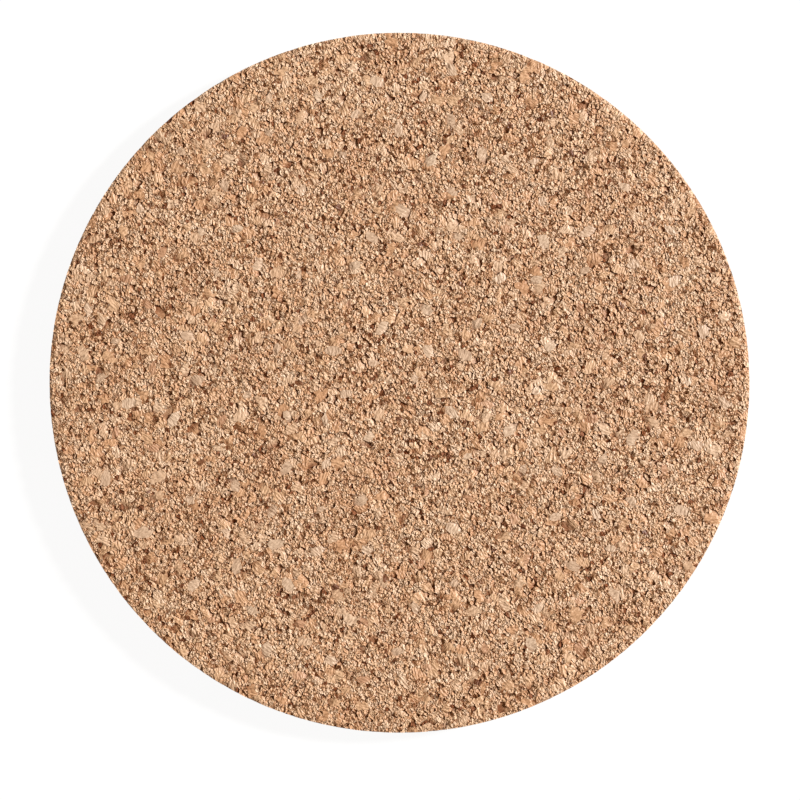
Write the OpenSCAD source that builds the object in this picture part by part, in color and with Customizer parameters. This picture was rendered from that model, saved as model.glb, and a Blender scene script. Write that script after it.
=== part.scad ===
// Round drinks coaster, die-cut from a sheet of pressed cork granules.
// The body is the bonded mass of fine granules. The larger granules that show in its two faces
// and round its cut rim are separate solids. Each sits on the floor of its own pocket in the body
// and is cut flush with the face or the rim.

/* [Disc] */
// Diameter of the cut disc
disc_d = 100; // [80:1:120]
// Thickness of the cork sheet
sheet_t = 4; // [3:0.5:8]
// Rounding of the two cut edges
edge_r = 0.2; // [0.1:0.1:0.8]

/* [Granules in the faces] */
// Distance from one granule to the next
face_pitch = 6.5; // [6:0.5:12]
// Depth of a granule below the face
face_depth = 1.2; // [0.6:0.1:1.4]
// Bare ring between the granules of a face and those of the rim
face_ring = 0.8; // [0.4:0.1:4]

/* [Granules in the rim] */
// Distance from one granule to the next along the rim
rim_pitch = 6.5; // [6:0.5:16]
// Depth of a granule in from the rim
rim_depth = 1.2; // [0.6:0.1:1.6]
// Furthest that a granule sits above or below the middle of the rim
rim_shift = 0.3; // [0:0.05:0.4]

/* [Granule kinds] */
// Half-width of the largest pale granule
pale_r = 1.5; // [1:0.1:1.8]
// Half-width of the largest amber granule
amber_r = 1.2; // [0.8:0.1:1.6]
// Half-width of the largest bark granule
bark_r = 0.8; // [0.6:0.1:1.4]
// Share by which the smallest granule of a kind is narrower than the largest
size_spread = 0.5; // [0:0.05:0.6]
// Share of the granules that are pale
pale_share = 0.55; // [0.2:0.05:0.6]
// Share of the granules that are amber, with bark for the rest
amber_share = 0.25; // [0.1:0.05:0.4]
// Gap between the sides of a granule and its pocket, taken up by the binder
bond_gap = 0.05; // [0.02:0.01:0.15]
// Seed of the scatter
scatter_seed = 7; // [1:1:99]

/* [Hidden] */

$fn = 180;

// Kinds of granule, as places in the lists of sizes and tones
pale = 0;
amber = 1;
bark = 2;
kind_r = [pale_r, amber_r, bark_r];
kind_tone = ["#dcc6a4", "#b4733f", "#5b3721"];
body_tone = "#bd9372";

// Corners of a granule's outline, how far they stray, and its narrow side against its long one
corners = 7;
corner_reach = 0.75;
corner_sway = 0.3;
narrow_side = 0.65;

disc_r = disc_d / 2;
cut_over = 1;
largest_r = max(kind_r);

// Face granules lie on a seed-head spiral, each strayed by up to a tenth of the pitch
golden_angle = 180 * (3 - sqrt(5));
spiral_step = face_pitch * sqrt(sqrt(3) / 2 / PI);
face_stray = face_pitch / 10;
face_reach = disc_r - max(rim_depth, edge_r) - face_ring - largest_r - bond_gap - face_stray;
face_count = floor(pow(face_reach / spiral_step, 2));

// Rim granules keep clear of both rounded edges
rim_count = floor(PI * disc_d / rim_pitch);
rim_stray = 60 / rim_count;
rim_r = sheet_t / 2 - edge_r - rim_shift - bond_gap;

// Kind of the granule that a draw from 0 to 1 falls to
function kind_of(draw) = draw < pale_share ? pale : draw < pale_share + amber_share ? amber : bark;

// Granules of one face, each as its kind, half-width, turn, x and y
function face_granules(seed) =
    let(
        draw = rands(0, 1, face_count, seed),
        size = rands(1 - size_spread, 1, face_count, seed + 1),
        turn = rands(0, 360, face_count, seed + 2),
        way = rands(0, 360, face_count, seed + 3)
    )
    [for (k = [0:face_count - 1])
        let(kind = kind_of(draw[k]), out = spiral_step * sqrt(k + 0.5), a = k * golden_angle)
        [kind, size[k] * kind_r[kind], turn[k],
            out * cos(a) + face_stray * cos(way[k]), out * sin(a) + face_stray * sin(way[k])]];

// Granules of the rim, each as its kind, half-width, turn, bearing and height
function rim_granules(seed) =
    let(
        draw = rands(0, 1, rim_count, seed),
        size = rands(1 - size_spread, 1, rim_count, seed + 1),
        turn = rands(0, 360, rim_count, seed + 2),
        stray = rands(-rim_stray, rim_stray, rim_count, seed + 3),
        lift = rands(-rim_shift, rim_shift, rim_count, seed + 4)
    )
    [for (k = [0:rim_count - 1])
        let(kind = kind_of(draw[k]))
        [kind, size[k] * min(kind_r[kind], rim_r), turn[k],
            k * 360 / rim_count + stray[k], sheet_t / 2 + lift[k]]];

top_list = face_granules(scatter_seed);
underside_list = face_granules(scatter_seed + 100);
rim_list = rim_granules(scatter_seed + 200);

// Broken outline of a granule, grown by the bond gap where it is a pocket
module outline(granule, seed, grow) {
    reach = rands(corner_reach, 1, corners, seed);
    sway = rands(-corner_sway, corner_sway, corners, seed + 1);
    rotate(granule[2])
        polygon([for (i = [0:corners - 1])
            let(a = (i + sway[i]) * 360 / corners)
            (granule[1] * reach[i] + grow) * [cos(a), narrow_side * sin(a)]]);
}

// Disc as the die leaves it
module blank() {
    rotate_extrude() {
        square([disc_r - edge_r, sheet_t]);
        translate([0, edge_r])
            square([disc_r, sheet_t - 2 * edge_r]);
        for (z = [edge_r, sheet_t - edge_r])
            translate([disc_r - edge_r, z])
                circle(r = edge_r, $fn = 32);
    }
}

// Chips of the given kinds let into the top face, standing past it by the cut-over
module face_chips(list, kinds, grow, over) {
    for (k = [0:len(list) - 1])
        if (search(list[k][0], kinds))
            translate([list[k][3], list[k][4], sheet_t - face_depth])
                linear_extrude(face_depth + over)
                    outline(list[k], scatter_seed + 10 * k, grow);
}

// Chips of the given kinds let into the rim, standing past it by the cut-over
module rim_chips(list, kinds, grow) {
    for (k = [0:len(list) - 1])
        if (search(list[k][0], kinds))
            rotate(list[k][3])
                translate([disc_r - rim_depth, 0, list[k][4]])
                    rotate([90, 0, 90])
                        linear_extrude(rim_depth + cut_over)
                            outline(list[k], scatter_seed + 10 * k, grow);
}

// The other face up
module turned_over() {
    translate([0, 0, sheet_t])
        rotate([180, 0, 0])
            children();
}

// Bonded mass of fine granules, with a pocket for every large one
module cork_body() {
    every_kind = [pale, amber, bark];
    color(body_tone)
        difference() {
            blank();
            face_chips(top_list, every_kind, bond_gap, cut_over);
            turned_over()
                face_chips(underside_list, every_kind, bond_gap, cut_over);
            rim_chips(rim_list, every_kind, bond_gap);
        }
}

module granules_top(kind) {
    color(kind_tone[kind])
        face_chips(top_list, [kind], 0, 0);
}

module granules_underside(kind) {
    color(kind_tone[kind])
        turned_over()
            face_chips(underside_list, [kind], 0, 0);
}

// Rim granules are cut off by the die where the disc ends
module granules_rim(kind) {
    color(kind_tone[kind])
        intersection() {
            blank();
            rim_chips(rim_list, [kind], 0);
        }
}

cork_body();
granules_top(pale);  // pale_granules_top
granules_top(amber);  // amber_granules_top
granules_top(bark);  // bark_granules_top
granules_underside(pale);  // pale_granules_underside
granules_underside(amber);  // amber_granules_underside
granules_underside(bark);  // bark_granules_underside
granules_rim(pale);  // pale_granules_rim
granules_rim(amber);  // amber_granules_rim
granules_rim(bark);  // bark_granules_rim
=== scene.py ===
import math

import bpy
import numpy as np
from mathutils.geometry import delaunay_2d_cdt
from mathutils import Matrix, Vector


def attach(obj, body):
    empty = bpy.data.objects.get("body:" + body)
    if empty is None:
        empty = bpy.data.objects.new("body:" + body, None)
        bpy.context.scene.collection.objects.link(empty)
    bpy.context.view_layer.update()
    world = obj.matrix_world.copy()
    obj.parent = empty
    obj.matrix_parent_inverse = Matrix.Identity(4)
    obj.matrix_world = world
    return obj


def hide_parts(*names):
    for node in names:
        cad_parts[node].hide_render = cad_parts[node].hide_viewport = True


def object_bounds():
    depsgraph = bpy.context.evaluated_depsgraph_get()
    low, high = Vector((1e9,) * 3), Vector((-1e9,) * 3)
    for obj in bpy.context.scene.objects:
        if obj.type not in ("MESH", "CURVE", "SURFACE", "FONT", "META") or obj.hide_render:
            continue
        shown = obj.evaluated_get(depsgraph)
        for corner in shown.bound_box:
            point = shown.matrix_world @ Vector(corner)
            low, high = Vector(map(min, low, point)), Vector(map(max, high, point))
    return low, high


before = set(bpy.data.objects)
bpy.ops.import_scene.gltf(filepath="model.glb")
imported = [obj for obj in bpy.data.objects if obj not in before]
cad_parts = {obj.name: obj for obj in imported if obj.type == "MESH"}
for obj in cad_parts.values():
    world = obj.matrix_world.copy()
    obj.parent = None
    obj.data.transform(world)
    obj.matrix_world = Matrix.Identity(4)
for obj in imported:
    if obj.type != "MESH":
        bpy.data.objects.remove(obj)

mm = 0.001
cadBox = [list(map(float, corner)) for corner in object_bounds()]
hair = 0.002  # how far the granules stay inside the solid's rim
discR = cadBox[1][0] / mm - hair  # flat layouts are in mm, meshes in metres
sheetT = cadBox[1][2] / mm


def addNode(tree, kind, inputs=None, **settings):
    node = tree.nodes.new(kind)
    for name, value in settings.items():
        setattr(node, name, value)
    for socket, value in (inputs or {}).items():
        if isinstance(value, bpy.types.NodeSocket):
            tree.links.new(value, node.inputs[socket])
        else:
            node.inputs[socket].default_value = value
    return node


def mathsIn(tree):
    def maths(operation, *values):
        return addNode(tree, "ShaderNodeMath", dict(enumerate(values)), operation=operation).outputs[0]

    return maths


def emptyFinish(name):
    mat = bpy.data.materials.new(name)
    mat.use_nodes = True
    mat.node_tree.nodes.clear()
    return mat


def srgb(r, g, b):
    # screen levels, 0 to 255, as linear colour
    return tuple(c / 255 / 12.92 if c < 10.3 else ((c / 255 + 0.055) / 1.055) ** 2.4 for c in (r, g, b))


def corkFinish(look):
    mat = emptyFinish(look["name"])
    tree = mat.node_tree
    maths = mathsIn(tree)

    def stored(label):
        return addNode(tree, "ShaderNodeAttribute", attribute_name=label).outputs["Fac"]

    def noise(at, scale, detail, rough):
        inputs = {"Vector": at, "Scale": scale, "Detail": detail, "Roughness": rough}
        return addNode(tree, "ShaderNodeTexNoise", inputs).outputs["Fac"]

    def remap(value, low, high, atLow, atHigh):
        inputs = {"Value": value, "From Min": low, "From Max": high, "To Min": atLow, "To Max": atHigh}
        return addNode(tree, "ShaderNodeMapRange", inputs).outputs[0]

    def sway(about, value, amount):
        return maths("MULTIPLY_ADD", maths("SUBTRACT", value, 0.5), amount, about)

    place = addNode(tree, "ShaderNodeTexCoord").outputs["Object"]
    tone = stored("tone")  # each granule's own draw
    rise = stored("rise")  # 0 at a granule's foot and 1 at the sanded plane
    grit = stored("grit")  # 1 on the small granules and less on larger ones

    # colour: one tone for each granule, mottled inside it, and drifting slowly over the sheet
    mottle = noise(place, *look["mottleNoise"])
    drift = noise(place, *look["driftNoise"])
    shade = sway(0.5, tone, look["toneSpread"])
    shade = sway(shade, mottle, look["mottle"])
    shade = sway(shade, drift, look["drift"])
    ramp = addNode(tree, "ShaderNodeValToRGB", {"Fac": shade})
    low, middle, high = look["tones"]
    stops = ramp.color_ramp.elements
    stops[0].color = (*low, 1)
    stops[1].color = (*high, 1)
    stops.new(0.5).color = (*middle, 1)

    # fibres run each granule's own way, and are the longer the larger it is
    turn = maths("MULTIPLY", tone, look["fibreTurn"])
    turned = addNode(tree, "ShaderNodeVectorRotate", {"Vector": place, "Angle": turn}, rotation_type="Z_AXIS")
    along = remap(grit, *look["fibreGrit"], *look["fibre"])
    stretch = addNode(tree, "ShaderNodeCombineXYZ", {0: 1.0, 1: along, 2: 1.0}).outputs[0]
    fibres = addNode(tree, "ShaderNodeVectorMath", {0: turned.outputs[0], 1: stretch}, operation="MULTIPLY")
    grain = noise(fibres.outputs[0], *look["grainNoise"])

    # binder stain and painted shade darken the foot of each granule, where shade falls between granules, and
    # the pores in it, and a few small ones are dark all over
    # painted shade with binder stain: darker and browner the lower a point lies below the sanded plane
    foot = remap(rise, 0.0, look["footTop"], look["footStainShade"], 0.0)
    # painted shade in the bump's hollows, with the pores' own stain
    pore = remap(grain, *look["pores"], look["poreStainShade"], 0.0)
    dark = maths("LESS_THAN", tone, look["flecks"])
    fleck = maths("MULTIPLY", dark, maths("GREATER_THAN", grit, look["fleckGrit"]))
    # binder stain and painted shade at the feet and pores, together with the dark flecks' own colour
    stainAndShade = maths("MAXIMUM", maths("MAXIMUM", foot, pore), maths("MULTIPLY", fleck, look["fleckStain"]))
    blend = {0: stainAndShade, 6: ramp.outputs["Color"], 7: (*look["stainShadeColour"], 1)}  # 6, 7 and output 2 are for colour
    colour = addNode(tree, "ShaderNodeMix", blend, data_type="RGBA").outputs[2]

    relief = {"Height": grain, "Distance": look["grainHeight"], "Strength": grit}
    skin = addNode(tree, "ShaderNodeBsdfPrincipled", {
        "Base Color": colour,
        "Roughness": remap(mottle, 0.0, 1.0, *look["rough"]),
        "Specular IOR Level": remap(stainAndShade, 0.0, 1.0, look["shine"], 0.0),  # stained places and places of painted shade are dull
        "Normal": addNode(tree, "ShaderNodeBump", relief).outputs[0],
    })
    addNode(tree, "ShaderNodeOutputMaterial", {"Surface": skin.outputs[0]})
    return mat


corkLook = {
    "mottleNoise": (1800.0, 4.0, 0.65),  # scale, detail and roughness of each noise
    "driftNoise": (160.0, 2.0, 0.5),
    "grainNoise": (3300.0, 1.0, 0.5),
    "toneSpread": 0.24,
    "mottle": 0.4,
    "drift": 0.65,
    "grainHeight": 0.5 * mm,
    "fibreTurn": 40.0,
    "fibreGrit": (0.5, 1.0),
    "fibre": (0.4, 0.75),  # squeeze along the fibres on large granules and on small ones
    # dark brown of the binder stain and of the painted shade at the granules' feet and in the pores, also
    # used for the dark flecks
    "stainShadeColour": srgb(108, 50, 18),
    # painted shade with binder stain at the feet: it reaches up to this share of the relief's height
    "footTop": 0.86,
    "footStainShade": 1.0,
    # painted shade with pore stain: darker where the grain noise is low, in the bump's hollows
    "pores": (0.3, 0.42),
    "poreStainShade": 0.35,
    "flecks": 0.02,
    "fleckGrit": 0.9,
    "fleckStain": 0.85,
    "rough": (0.45, 0.65),
    "shine": 0.9,
}
kindLooks = {
    "tan": {
        "name": "tan cork",
        "tones": (srgb(190, 143, 101), srgb(211, 174, 139), srgb(230, 202, 172)),
    },
    "honey": {
        "name": "honey cork",
        "tones": (srgb(186, 136, 95), srgb(208, 166, 126), srgb(226, 193, 158)),
    },
    "russet": {
        "name": "russet cork",
        "tones": (srgb(176, 123, 83), srgb(203, 155, 113), srgb(221, 181, 142)),
    },
    "pale": {
        "name": "pale cork",
        "poreStainShade": 0.3,
        "tones": (srgb(184, 147, 115), srgb(205, 173, 143), srgb(222, 197, 169)),
    },
    "amber": {
        "name": "amber cork",
        "poreStainShade": 0.4,
        "tones": (srgb(168, 118, 82), srgb(192, 145, 109), srgb(212, 171, 135)),
    },
    "bark": {
        "name": "cork bark",
        "tones": (srgb(84, 40, 14), srgb(118, 70, 38), srgb(156, 104, 64)),
    },
}
finishes = {kind: corkFinish(corkLook | look) for kind, look in kindLooks.items()}
print("finishes made:", len(finishes))

fineKinds = ("tan", "honey", "russet")
largeKinds = ("pale", "amber", "bark")
granuleKinds = {kind: number for number, kind in enumerate(fineKinds + largeKinds)}
slots = {kind: "bonded_cork" for kind in fineKinds}
slots |= {"pale": "pale_cork", "amber": "amber_cork", "bark": "cork_bark"}

crumbs = {
    "Thickness": 0.4 * mm,
    "Bevel": 0.012 * mm,
    "Skew": 0.2,  # how far off the middle a top narrows to, as a share of the granule's half-width
    "Lean": 0.75,  # steepest slope of a top
    "Lean Width": 0.32 * mm,  # granules wider than this lean less and are smoother
    "Lift": 0.06 * mm,  # most that the sanding takes off a top
    "Pits": 0.05,  # share of the granules that lie deeper
    "Pit Depth": 0.26 * mm,
    "Dents": 0.3 * mm,
}
flakes = crumbs | {"Skew": 0.0, "Pits": 0.0}
cutLook = {
    "gritPower": 0.85,  # the larger a granule, the smoother its top
    "shrink": 0.995,  # parts a granule from its neighbours
    "leastBevel": 0.2,  # share of the bevel
    "leastTop": 0.3,  # share of the foot's width
    "leastHeight": 0.2,  # share of the thickness
    "dentScale": 1600.0,
    "dentDetail": 1.0,
    "weld": 0.0001 * mm,
}


def granuleTree(look):
    tree = bpy.data.node_groups.new("granuleCut", "GeometryNodeTree")
    maths = mathsIn(tree)
    socketKinds = {"Geometry": "Geometry", "Kind": "Int", "Seed": "Int", "Finish": "Material"}
    sockets = {}
    for name in ("Geometry", "Kind", *crumbs, "Seed", "Finish"):
        kind = "NodeSocket" + socketKinds.get(name, "Float")
        sockets[name] = tree.interface.new_socket(name=name, in_out="INPUT", socket_type=kind).identifier
    tree.interface.new_socket(name="Geometry", in_out="OUTPUT", socket_type="NodeSocketGeometry")
    given = tree.nodes.new("NodeGroupInput").outputs

    def step(kind, inputs, **settings):
        return addNode(tree, "GeometryNode" + kind, inputs, **settings).outputs[0]

    def read(name, kind="FLOAT"):
        return step("InputNamedAttribute", {"Name": name}, data_type=kind)

    def store(geometry, name, value, kind="FLOAT", domain="FACE"):
        inputs = {"Geometry": geometry, "Name": name, "Value": value}
        return step("StoreNamedAttribute", inputs, data_type=kind, domain=domain)

    def differ(one, other):
        inputs = {2: one, 3: other}  # its sockets for whole numbers
        return addNode(tree, "FunctionNodeCompare", inputs, data_type="INT", operation="NOT_EQUAL").outputs[0]

    def vectors(operation, one, other):
        return addNode(tree, "ShaderNodeVectorMath", {0: one, 1: other}, operation=operation).outputs[0]

    def axesOf(vector):
        return addNode(tree, "ShaderNodeSeparateXYZ", {0: vector}).outputs

    def vectorOf(x, y, z):
        return addNode(tree, "ShaderNodeCombineXYZ", {0: x, 1: y, 2: z}).outputs[0]

    granule = read("granule", "INT")

    def draw(low, high, turn):
        seed = maths("ADD", given["Seed"], float(turn))
        inputs = {2: low, 3: high, "ID": granule, "Seed": seed}  # 2, 3 and output 1 are for plain numbers
        return addNode(tree, "FunctionNodeRandomValue", inputs, data_type="FLOAT").outputs[1]

    def eitherWay(value, turn):
        return draw(maths("MULTIPLY", value, -1.0), value, turn)

    # cells round the layout's points, each with its granule's own draws
    cells = step("DualMesh", {"Mesh": given["Geometry"], "Keep Boundaries": False})
    cells = step("SetPosition", {"Geometry": cells, "Position": read("corner", "FLOAT_VECTOR")})
    others = differ(read("kind", "INT"), given["Kind"])
    cells = step("DeleteGeometry", {"Geometry": cells, "Selection": others}, domain="FACE")
    size = read("size")
    small = maths("MINIMUM", maths("DIVIDE", given["Lean Width"], size), 1.0)
    cells = store(cells, "grit", maths("POWER", small, look["gritPower"]))
    cells = store(cells, "tone", draw(0.0, 1.0, 1))
    leastBevel = maths("MULTIPLY", given["Bevel"], look["leastBevel"])
    narrowed = maths("DIVIDE", draw(leastBevel, given["Bevel"], 3), size)
    cells = store(cells, "bevel", maths("MAXIMUM", maths("SUBTRACT", 1.0, narrowed), look["leastTop"]))
    lean = maths("MULTIPLY", given["Lean"], small)
    cells = store(cells, "leanX", eitherWay(lean, 4))
    cells = store(cells, "leanY", eitherWay(lean, 5))
    pit = maths("LESS_THAN", draw(0.0, 1.0, 6), given["Pits"])
    sunk = maths("MULTIPLY", pit, given["Pit Depth"])
    cells = store(cells, "drop", maths("SUBTRACT", sunk, draw(0.0, given["Lift"], 7)))
    skewX = maths("MULTIPLY", eitherWay(given["Skew"], 8), size)
    skewY = maths("MULTIPLY", eitherWay(given["Skew"], 9), size)
    peak = vectors("ADD", read("centre", "FLOAT_VECTOR"), vectorOf(skewX, skewY, 0.0))
    cells = store(cells, "peak", peak, "FLOAT_VECTOR")

    # cells of one granule stay joined, and it shrinks from its neighbours and is raised to a closed chip
    def granuleBeside(turn):
        corner = step("CornersOfEdge", {"Sort Index": turn})
        face = step("FaceOfCorner", {"Corner Index": corner})
        return step("FieldAtIndex", {"Index": face, "Value": granule}, data_type="INT", domain="FACE")

    parted = differ(granuleBeside(0), granuleBeside(1))
    cells = step("SplitEdges", {"Mesh": cells, "Selection": parted})
    cells = step("ScaleElements", {"Geometry": cells, "Scale": look["shrink"]}, domain="FACE")
    floors = step("FlipFaces", {"Mesh": cells})
    raising = {"Mesh": cells, "Offset Scale": given["Thickness"], "Individual": False}
    raised = addNode(tree, "GeometryNodeExtrudeMesh", raising, mode="FACES").outputs
    narrowing = {
        "Geometry": raised["Mesh"],
        "Selection": raised["Top"],
        "Scale": read("bevel"),
        "Center": read("peak", "FLOAT_VECTOR"),
    }
    chips = step("ScaleElements", narrowing, domain="FACE")

    # broken tops lean, sink and dent, and what stands past the sanded plane is cut off
    place = step("InputPosition", {})
    at = axesOf(place)
    away = axesOf(vectors("SUBTRACT", place, read("peak", "FLOAT_VECTOR")))
    height = maths("SUBTRACT", given["Thickness"], read("drop"))
    height = maths("MULTIPLY_ADD", read("leanX"), away["X"], height)
    height = maths("MULTIPLY_ADD", read("leanY"), away["Y"], height)
    denting = {"Vector": place, "Scale": look["dentScale"], "Detail": look["dentDetail"]}
    dent = maths("SUBTRACT", addNode(tree, "ShaderNodeTexNoise", denting).outputs["Fac"], 0.5)
    height = maths("MULTIPLY_ADD", dent, maths("MULTIPLY", given["Dents"], read("grit")), height)
    height = maths("MINIMUM", height, given["Thickness"])
    height = maths("MAXIMUM", height, maths("MULTIPLY", given["Thickness"], look["leastHeight"]))
    broken = vectorOf(at["X"], at["Y"], height)
    chips = step("SetPosition", {"Geometry": chips, "Selection": raised["Top"], "Position": broken})
    chips = store(chips, "rise", maths("DIVIDE", at["Z"], given["Thickness"]), domain="POINT")

    joined = addNode(tree, "GeometryNodeJoinGeometry")
    tree.links.new(floors, joined.inputs[0])
    tree.links.new(chips, joined.inputs[0])
    solid = step("MergeByDistance", {"Geometry": joined.outputs[0], "Distance": look["weld"]})
    solid = store(solid, "tone", read("tone"), domain="POINT")
    solid = store(solid, "grit", read("grit"), domain="POINT")
    solid = step("RealizeInstances", {"Geometry": solid})
    solid = step("SetMaterial", {"Geometry": solid, "Material": given["Finish"]})
    out = tree.nodes.new("NodeGroupOutput")
    tree.links.new(solid, out.inputs[0])
    return tree, sockets


cutTree, cutSockets = granuleTree(cutLook)
print("granule tree made, with", len(cutSockets), "inputs")

layout = {
    "frameDigits": 7,  # decimals, in metres, that tell the frame's corners apart
    "weld": 1e-7,
    "farOff": 1.5,
    "spareRows": 3,
    "rowStep": 0.866,  # from here on, shares of the spacing
    "jitter": 0.42,
    "edgeMargin": 0.3,
    "middleRoom": 0.4,
    "halfWidth": 0.52,
    "ghostBand": 4,
}
pairing = {
    "least": 6,
    "stray": (0.2, 0.8),  # share of a step along the outline
    "offset": (0.1, 0.2),  # from the outline, to each side
    "reach": 4,  # from the middle of a large granule, past its corners
    "margin": 0.1,  # this and the next are shares of the spacing
    "room": 0.45,
}
sheetLook = {
    "leftOut": 0.3,
    "shares": (0.34, 0.33, 0.33),
    "chips": 0.07,
    "chipHalfLength": (0.45, 1.1),
    "chipNarrow": (0.4, 0.8),
}


def numbersOf(items, field, width, kind=np.float32):
    values = np.empty(len(items) * width, kind)
    items.foreach_get(field, values)
    return values.reshape(-1, width) if width > 1 else values


def outlinesOf(nodeName):
    # a node's loose triangles, gathered into its separate granules: the corners of each
    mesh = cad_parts[nodeName].data
    spots = numbersOf(mesh.vertices, "co", 3, np.float64)
    spots, index = np.unique(np.round(spots, layout["frameDigits"]), axis=0, return_inverse=True)
    faces = index.ravel()[np.array([face.vertices[:] for face in mesh.polygons])]
    group = np.arange(len(spots))
    while True:
        lowest = group[faces].min(1)
        before = group.copy()
        for side in range(faces.shape[1]):
            np.minimum.at(group, faces[:, side], lowest)
        if (group == before).all():
            break
    return [spots[group == label] / mm for label in np.unique(group)]


def inTurn(corners):
    # in order round their middle, which every granule's outline is open to
    x, y = (corners - corners.mean(0)).T
    return corners[np.argsort(np.arctan2(y, x))]


def insideOutline(points, corners):
    corners = inTurn(corners)
    x, y = points.T
    hit = np.zeros(len(points), bool)
    for start, end in zip(corners, np.roll(corners, -1, 0)):
        crossing = (start[1] > y) != (end[1] > y)
        with np.errstate(divide="ignore", invalid="ignore"):
            crossX = start[0] + (y - start[1]) * (end[0] - start[0]) / (end[1] - start[1])
        hit ^= crossing & (x < crossX)
    return hit


def outlinePairs(corners, spacing, rng):
    # points close on both sides of an outline, so that the cells meet along it
    corners = inTurn(corners)
    loop = np.concatenate([corners, corners[:1]])
    sides = np.diff(loop, axis=0)
    lengths = np.hypot(*sides.T)
    reach = np.concatenate([[0], np.cumsum(lengths)])
    steps = max(pairing["least"], round(reach[-1] / spacing))
    along = (np.arange(steps) + rng.uniform(*pairing["stray"], steps)) / steps * reach[-1]
    side = np.clip(np.searchsorted(reach, along, "right") - 1, 0, len(sides) - 1)
    way = sides[side] / lengths[side, None]
    spots = loop[side] + way * (along - reach[side])[:, None]
    out = np.stack([way[:, 1], -way[:, 0]], 1) * rng.uniform(*pairing["offset"], (steps, 1))
    return np.concatenate([spots - out, spots + out])


def cellCorners(triangles):
    # middles of the circles through the triangles, or plain middles where those lie far off
    origin = triangles[:, 0]
    one, two = triangles[:, 1] - origin, triangles[:, 2] - origin
    oneSquare, twoSquare = (one**2).sum(1), (two**2).sum(1)
    twice = 2 * (one[:, 0] * two[:, 1] - one[:, 1] * two[:, 0])
    across = two[:, 1] * oneSquare - one[:, 1] * twoSquare
    up = one[:, 0] * twoSquare - two[:, 0] * oneSquare
    with np.errstate(divide="ignore", invalid="ignore"):
        middles = origin + np.stack([across, up], 1) / twice[:, None]
    plain = triangles.mean(1)
    far = ~(np.hypot(*(middles - plain).T) < layout["farOff"])
    middles[far] = plain[far]
    return middles


def jitteredGrid(width, height, spacing, rng):
    rows = int(height / (spacing * layout["rowStep"])) + layout["spareRows"]
    columns = int(width / spacing) + layout["spareRows"]
    y, x = np.mgrid[0:rows, 0:columns].astype(float)
    x = (x + 0.5 * (y % 2)) * spacing
    points = np.stack([x.ravel(), y.ravel() * spacing * layout["rowStep"]], 1)
    points -= points.max(0) / 2
    return points + rng.uniform(-layout["jitter"], layout["jitter"], points.shape) * spacing


def scatterPoints(sheet, fixed, rng):
    # a loose scatter that makes room for pairs of points along each large granule's outline
    spacing = sheet["spacing"]
    points = jitteredGrid(*sheet["extent"], spacing, rng)
    points = points[sheet["inside"](points, layout["edgeMargin"] * spacing)]
    points = points[rng.random(len(points)) > sheet["leftOut"]]
    for corners, _ in fixed:
        middle = corners.mean(0)
        pairs = outlinePairs(corners, spacing, rng)
        pairs = pairs[sheet["inside"](pairs, pairing["margin"] * spacing)]
        near = np.flatnonzero(np.hypot(*(points - middle).T) < pairing["reach"])
        apart = np.hypot(*(points[near, None] - pairs).transpose(2, 0, 1))
        close = near[(apart < pairing["room"] * spacing).any(1)]
        points = np.concatenate([np.delete(points, close, 0), pairs])
        points = points[np.hypot(*(points - middle).T) > layout["middleRoom"] * spacing]
    return points


def shareOut(sheet, fixed, points, first, rng):
    # the granule and the kind of each point's cell: large granules, then middling chips, then single cells
    owner = np.arange(len(points))
    kind = rng.choice(len(sheet["shares"]), len(points), p=sheet["shares"])
    free = np.ones(len(points), bool)

    def take(covered, at, itsKind):
        taken = covered & free
        taken[at] = True
        owner[taken] = at
        kind[taken] = itsKind
        free[taken] = False

    for i, (corners, fixedKind) in enumerate(fixed):
        take(insideOutline(points, corners), first + i, fixedKind)
    for i in np.flatnonzero(rng.random(first) < sheet["chips"]):  # long and narrow
        turn = rng.uniform(0, math.pi)
        half = rng.uniform(*sheet["chipHalfLength"])
        narrow = rng.uniform(*sheet["chipNarrow"])
        if free[i]:
            x, y = (points - points[i]).T
            along = (x * math.cos(turn) + y * math.sin(turn)) / half
            across = (y * math.cos(turn) - x * math.sin(turn)) / (half * narrow)
            take(along**2 + across**2 < 1, i, kind[i])
    return owner, kind


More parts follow.
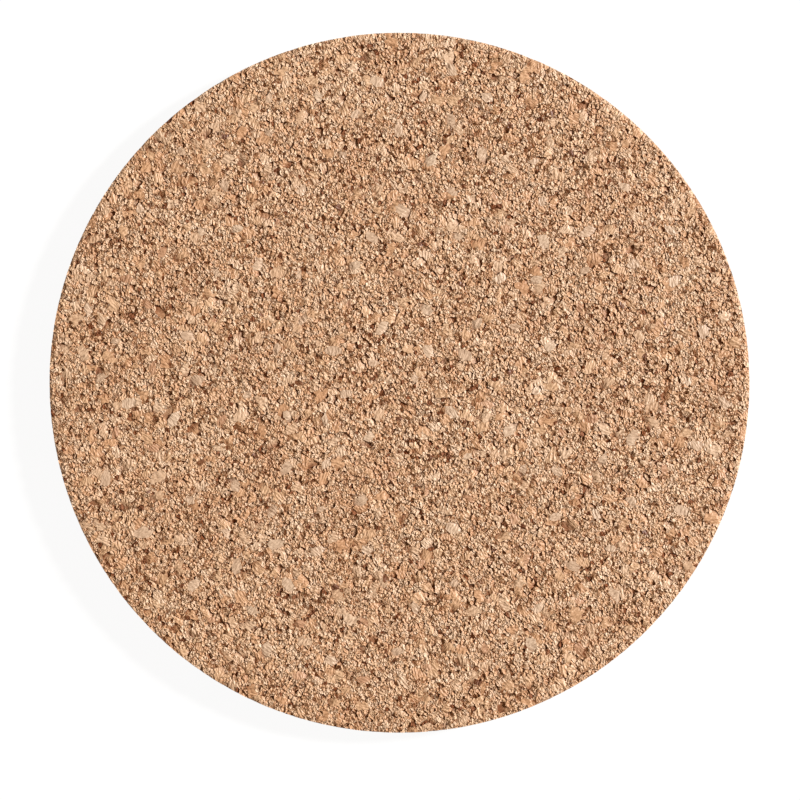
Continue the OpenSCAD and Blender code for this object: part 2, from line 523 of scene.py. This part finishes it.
def granuleNet(name, sheet, fixed):
    # flat net of triangles between points; each point is a cell, and each granule is one or more cells
    rng = np.random.default_rng(sheet["seed"])
    points = scatterPoints(sheet, fixed, rng)
    first = len(points)
    middles = np.array([corners.mean(0) for corners, _ in fixed]).reshape(-1, 2)
    points = np.concatenate([points, middles])
    owner, kind = shareOut(sheet, fixed, points, first, rng)
    cellsIn = np.bincount(owner, minlength=len(points))
    sums = np.stack([np.bincount(owner, points[:, k], len(points)) for k in (0, 1)], 1)
    centre = sums / np.maximum(cellsIn, 1)[:, None]
    size = np.sqrt(cellsIn) * sheet["spacing"] * layout["halfWidth"]

    # ghost points carry the net on past a seam, or mirror it at a wall, where the cells then end
    seamGhosts, wallGhosts = sheet["ghosts"](points, layout["ghostBand"] * sheet["spacing"])
    ghosts = np.concatenate([seamGhosts, wallGhosts])
    net = np.concatenate([points, ghosts])
    faces = np.array(delaunay_2d_cdt([tuple(p) for p in net], [], [], 0, layout["weld"])[2])
    atWall = (faces >= len(points) + len(seamGhosts)).any(1)
    corner = cellCorners(net[faces])
    corner[atWall] = sheet["snap"](corner[atWall])
    mesh = bpy.data.meshes.new(name + "Net")
    mesh.from_pydata(np.c_[net * mm, np.zeros(len(net))].tolist(), [], faces.tolist())

    def store(label, dataType, domain, values, field="value"):
        mesh.attributes.new(label, dataType, domain).data.foreach_set(field, values.ravel())

    def forGhosts(values, blank):
        return np.concatenate([values, np.full((len(ghosts), *values.shape[1:]), blank, values.dtype)])

    def flat(spots):
        return np.c_[spots, np.zeros(len(spots))] * mm

    store("kind", "INT", "POINT", forGhosts(kind, -1).astype(np.int32))
    store("granule", "INT", "POINT", forGhosts(owner, -1).astype(np.int32))
    store("size", "FLOAT", "POINT", forGhosts(size[owner], 1.0) * mm)
    store("centre", "FLOAT_VECTOR", "POINT", flat(forGhosts(centre[owner], 0.0)), "vector")
    store("corner", "FLOAT_VECTOR", "FACE", flat(corner), "vector")
    print(name, "cells:", len(points), "granules:", len(np.unique(owner)))
    return mesh


def cutGranules(net, name, kind, values, finish, seed):
    holder = bpy.data.objects.new(name + "Cut", net)
    bpy.context.scene.collection.objects.link(holder)
    cut = holder.modifiers.new("cut", "NODES")
    cut.node_group = cutTree
    for label, value in (values | {"Kind": granuleKinds[kind], "Seed": seed, "Finish": finish}).items():
        cut[cutSockets[label]] = value
    graph = bpy.context.evaluated_depsgraph_get()
    mesh = bpy.data.meshes.new_from_object(holder.evaluated_get(graph), depsgraph=graph)
    bpy.data.objects.remove(holder)
    mesh.name = name
    return mesh


bakeMap = {"drawnIn": 0.1, "floorNormal": -0.9, "floorTop": 0.01 * mm}
wallDepth = 0.05  # what lies no further in than this is on the wall of the disc


def layMap(mesh, mapTop, mapFloor):
    # the map for baking: tops drawn in a little, so that the sides show round them, and floors set apart
    spots = numbersOf(mesh.vertices, "co", 3)
    vertex = numbersOf(mesh.loops, "vertex_index", 1, np.int32)
    face = np.repeat(np.arange(len(mesh.polygons)), numbersOf(mesh.polygons, "loop_total", 1, np.int32))
    centre = numbersOf(mesh.attributes["centre"].data, "vector", 3)[face, :2] / mm
    onFloor = numbersOf(mesh.polygons, "normal", 3)[face, 2] < bakeMap["floorNormal"]
    at = spots[vertex, :2] / mm
    raised = spots[vertex, 2] > bakeMap["floorTop"]
    at[raised] += bakeMap["drawnIn"] * (centre - at)[raised]
    places = np.where(onFloor[:, None], mapFloor(at), mapTop(at, centre))
    mesh.uv_layers.new(name="OFBake").uv.foreach_set("vector", places.astype(np.float32).ravel())


def bareWall(mesh):
    # the die's cut leaves no binder stain, and no painted shade at the granules' feet, on the wall of the
    # disc
    spots = numbersOf(mesh.vertices, "co", 3)
    rise = numbersOf(mesh.attributes["rise"].data, "value", 1)
    rise[np.hypot(spots[:, 0], spots[:, 1]) > (discR - wallDepth) * mm] = 1
    mesh.attributes["rise"].data.foreach_set("value", rise)


def bringInPlace(mesh, put):
    spots = numbersOf(mesh.vertices, "co", 3)
    mesh.vertices.foreach_set("co", put(spots).astype(np.float32).ravel())
    for spare in ("granule", "kind", "size", "centre", "peak", "bevel", "leanX", "leanY", "drop", "corner"):
        if spare in mesh.attributes:
            mesh.attributes.remove(mesh.attributes[spare])
    mesh.update()


def addPiece(mesh, name, node):
    piece = bpy.data.objects.new(name, mesh)
    bpy.context.scene.collection.objects.link(piece)
    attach(piece, "root")
    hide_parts(node)
    print(name, sum(len(face.vertices) - 2 for face in mesh.polygons), "triangles")


def layGranules(side, sheet, fixed, put, mapTop, mapFloor):
    net = granuleNet(side, sheetLook | sheet, fixed)
    for kind in granuleKinds:
        fine = kind in fineKinds
        name = f"{kind}_grains_{side}"
        mesh = cutGranules(net, name, kind, crumbs if fine else flakes, finishes[kind], sheet["seed"])
        layMap(mesh, mapTop, mapFloor)
        if side != "rim":
            bareWall(mesh)
        bringInPlace(mesh, put)
        addPiece(mesh, name, "cork_body" if fine else f"{kind}_granules_{side}")


faceLook = {
    "edgeRound": 0.2,
    "spacing": {"top": 0.47, "underside": 0.7},
    "seed": {"top": 11, "underside": 12},
    "mapHalf": 0.48,  # half the width of the faces on the map for baking
    "floorMapMiddle": 0.08,
    "floorMapHalf": 0.07,
}


def insideFace(points, margin):
    return np.hypot(*points.T) < discR - margin


def faceGhosts(points, band):
    r = np.hypot(*points.T)
    near = r > discR - band
    return np.empty((0, 2)), points[near] * ((2 * discR - r[near]) / r[near])[:, None]


def faceSnap(corner):
    return corner * (discR / np.hypot(*corner.T))[:, None]


def roundEdge(spots):
    # tops sink round the cut edge, and floors stay
    edge = faceLook["edgeRound"]
    r = np.hypot(spots[:, 0], spots[:, 1]) / mm
    past = np.clip(r - discR + edge, 0, edge)
    sink = edge - np.sqrt(edge**2 - past**2)
    return spots[:, 2] * (1 - sink * mm / crumbs["Thickness"])


def putTop(spots):
    return np.c_[spots[:, :2], sheetT * mm - crumbs["Thickness"] + roundEdge(spots)]


def putUnder(spots):
    return np.c_[spots[:, 0], -spots[:, 1], crumbs["Thickness"] - roundEdge(spots)]


def mapFace(at, centre):
    return 0.5 + faceLook["mapHalf"] * at / discR


def mapFaceFloor(at):
    return faceLook["floorMapMiddle"] + faceLook["floorMapHalf"] * at / discR


for side, put, flip in (("top", putTop, 1), ("underside", putUnder, -1)):
    faceFlakes = [
        (np.unique(corners[:, :2], axis=0) * (1, flip), granuleKinds[kind])
        for kind in largeKinds
        for corners in outlinesOf(f"{kind}_granules_{side}")
    ]
    faceSheet = {
        "extent": (2 * discR, 2 * discR),
        "spacing": faceLook["spacing"][side],
        "seed": faceLook["seed"][side],
        "inside": insideFace,
        "ghosts": faceGhosts,
        "snap": faceSnap,
    }
    layGranules(side, faceSheet, faceFlakes, put, mapFace, mapFaceFloor)


rimLook = {
    "spacing": 0.6,
    "seed": 13,
    "mapRows": 10,  # the strip is cut into rows on the map for baking
    "mapMargin": 0.05,
    "mapHigh": 0.94,
    "floorMapWide": 0.96,
    "floorMapHigh": 0.8,
}
rimLength = 2 * math.pi * discR
rimHeight = sheetT - 2 * crumbs["Thickness"] / mm  # between the granules of the two faces


def insideRim(points, margin):
    return (np.abs(points[:, 0]) < rimLength / 2) & (np.abs(points[:, 1]) < rimHeight / 2 - margin)


def rimGhosts(points, band):
    ends = [points[points[:, 0] * way < band - rimLength / 2] + [way * rimLength, 0] for way in (1, -1)]
    ends = np.concatenate(ends)
    strip = np.concatenate([points, ends])
    mirrored = [strip * [1, -1] + [0, way * rimHeight] for way in (1, -1)]
    return ends, np.concatenate(mirrored)


def rimSnap(corner):
    return np.c_[corner[:, 0], np.copysign(rimHeight / 2, corner[:, 1])]


def mapRim(at, centre):
    rows, margin = rimLook["mapRows"], rimLook["mapMargin"]
    row = np.floor((centre[:, 0] / rimLength + 0.5) * rows).clip(0, rows - 1)
    u = (at[:, 0] / rimLength + 0.5) * rows - row
    v = (row + 0.5 + rimLook["mapHigh"] * at[:, 1] / rimHeight) / (rows + 1)
    return np.stack([margin + (1 - 2 * margin) * u, v], 1)


def mapRimFloor(at):
    rows = rimLook["mapRows"]
    u = 0.5 + rimLook["floorMapWide"] * at[:, 0] / rimLength
    v = (rows + 0.5 + rimLook["floorMapHigh"] * at[:, 1] / rimHeight) / (rows + 1)
    return np.stack([u, v], 1)


rimCorners = []
for kind in largeKinds:
    for corners in outlinesOf(f"{kind}_granules_rim"):
        onWall = np.hypot(corners[:, 0], corners[:, 1]) > discR - wallDepth
        rimCorners.append((corners[onWall], granuleKinds[kind]))
bearings = np.sort([math.atan2(*corners[:, 1::-1].mean(0)) for corners, _ in rimCorners])
gaps = np.diff(bearings, append=bearings[0] + 2 * math.pi)
seam = bearings[gaps.argmax()] + gaps.max() / 2  # the strip's ends meet where no large granule lies


def flatRim(corners):
    turn = (np.arctan2(corners[:, 1], corners[:, 0]) - seam) % (2 * math.pi)
    return np.stack([turn * discR - rimLength / 2, corners[:, 2] - sheetT / 2], 1)


def putRim(spots):
    turn = seam + (spots[:, 0] / mm + rimLength / 2) / discR
    r = discR * mm - crumbs["Thickness"] + spots[:, 2]
    return np.stack([r * np.cos(turn), r * np.sin(turn), sheetT / 2 * mm + spots[:, 1]], 1)


rimSheet = {
    "extent": (rimLength, rimHeight),
    "spacing": rimLook["spacing"],
    "seed": rimLook["seed"],
    "inside": insideRim,
    "ghosts": rimGhosts,
    "snap": rimSnap,
}
rimFlakes = [(flatRim(corners), kind) for corners, kind in rimCorners]
layGranules("rim", rimSheet, rimFlakes, putRim, mapRim, mapRimFloor)


coreLook = {"inset": 0.36, "chamfer": 0.2, "facets": 192}


def bondedCore(look):
    # what is left between and under the cut granules
    low, high, r = look["inset"], sheetT - look["inset"], discR - look["inset"]
    count, chamfer = look["facets"], look["chamfer"]
    rings = [(r - chamfer, low), (r, low + chamfer), (r, high - chamfer), (r - chamfer, high)]
    turns = [2 * math.pi * i / count for i in range(count)]
    spots = [(q * math.cos(turn) * mm, q * math.sin(turn) * mm, z * mm) for q, z in rings for turn in turns]
    faces = []
    for start in range(0, len(spots) - count, count):
        for i in range(count):
            here, beside = start + i, start + (i + 1) % count
            faces.append((here, beside, beside + count, here + count))
    faces.append(tuple(reversed(range(count))))
    faces.append(tuple(range(len(spots) - count, len(spots))))
    mesh = bpy.data.meshes.new("bonded_core")
    mesh.from_pydata(spots, [], faces)
    mesh.materials.append(finishes["bark"])
    addPiece(mesh, "bonded_core", "cork_body")


bondedCore(coreLook)


floorLook = {"half": 3.0, "below": 0.02 * mm, "paper": 0.8, "white": 0.94, "shadow": 0.08}


def whiteFloor(look):
    half, z = look["half"], -look["below"]
    corners = [(-half, -half, z), (half, -half, z), (half, half, z), (-half, half, z)]
    mesh = bpy.data.meshes.new("floor")
    mesh.from_pydata(corners, [], [(0, 1, 2, 3)])
    floor = bpy.data.objects.new("floor", mesh)
    bpy.context.scene.collection.objects.link(floor)
    mat = emptyFinish("white paper")
    tree = mat.node_tree
    maths = mathsIn(tree)

    def matt(level):
        return addNode(tree, "ShaderNodeBsdfDiffuse", {"Color": (level, level, level, 1)}).outputs[0]

    # white where it is seen, with a little of the coaster's shadow kept, and plain paper to the light
    ray = addNode(tree, "ShaderNodeLightPath").outputs
    seen = maths("MAXIMUM", ray["Is Camera Ray"], ray["Is Glossy Ray"])
    seen = maths("MAXIMUM", seen, ray["Is Transmission Ray"])
    glow = addNode(tree, "ShaderNodeEmission", {"Color": (1, 1, 1, 1), "Strength": look["white"]}).outputs[0]
    white = addNode(tree, "ShaderNodeAddShader", {0: glow, 1: matt(look["shadow"])}).outputs[0]
    mixed = addNode(tree, "ShaderNodeMixShader", {0: seen, 1: matt(look["paper"]), 2: white}).outputs[0]
    addNode(tree, "ShaderNodeOutputMaterial", {"Surface": mixed})
    mesh.materials.append(mat)


whiteFloor(floorLook)

scene = bpy.context.scene
scene.view_settings.view_transform = "Standard"

studioLook = {"colour": (1, 0.64, 0.36), "strength": 0.2}  # warm light from all round
world = bpy.data.worlds.new("studio")
world.use_nodes = True
scene.world = world
background = world.node_tree.nodes["Background"].inputs
background["Color"].default_value = (*studioLook["colour"], 1)
background["Strength"].default_value = studioLook["strength"]

lampLook = {"bearing": 18, "elevation": 30, "distance": 3.0, "size": 0.4, "watts": 176}
lampData = bpy.data.lights.new("key", "AREA")
lampData.size = lampLook["size"]
lampData.energy = lampLook["watts"]
lamp = bpy.data.objects.new("key", lampData)
scene.collection.objects.link(lamp)
bearing, elevation = math.radians(lampLook["bearing"]), math.radians(lampLook["elevation"])
level = lampLook["distance"] * math.cos(elevation)
lampHeight = lampLook["distance"] * math.sin(elevation)
lamp.location = (level * math.cos(bearing), level * math.sin(bearing), lampHeight)
lamp.rotation_euler = (math.pi / 2 - elevation, 0, bearing + math.pi / 2)

cameraLook = {"lens": 100.0, "sensor": 36.0, "frameWidth": 114.2 * mm, "aim": (0.076 * mm, -2.47 * mm)}
cameraData = bpy.data.cameras.new("camera")
cameraData.lens = cameraLook["lens"]
cameraData.sensor_width = cameraLook["sensor"]
camera = bpy.data.objects.new("camera", cameraData)
scene.collection.objects.link(camera)
cameraHeight = cameraLook["frameWidth"] * cameraLook["lens"] / cameraLook["sensor"]
camera.location = (*cameraLook["aim"], sheetT * mm + cameraHeight)
scene.camera = camera
print("floor, light and camera set")
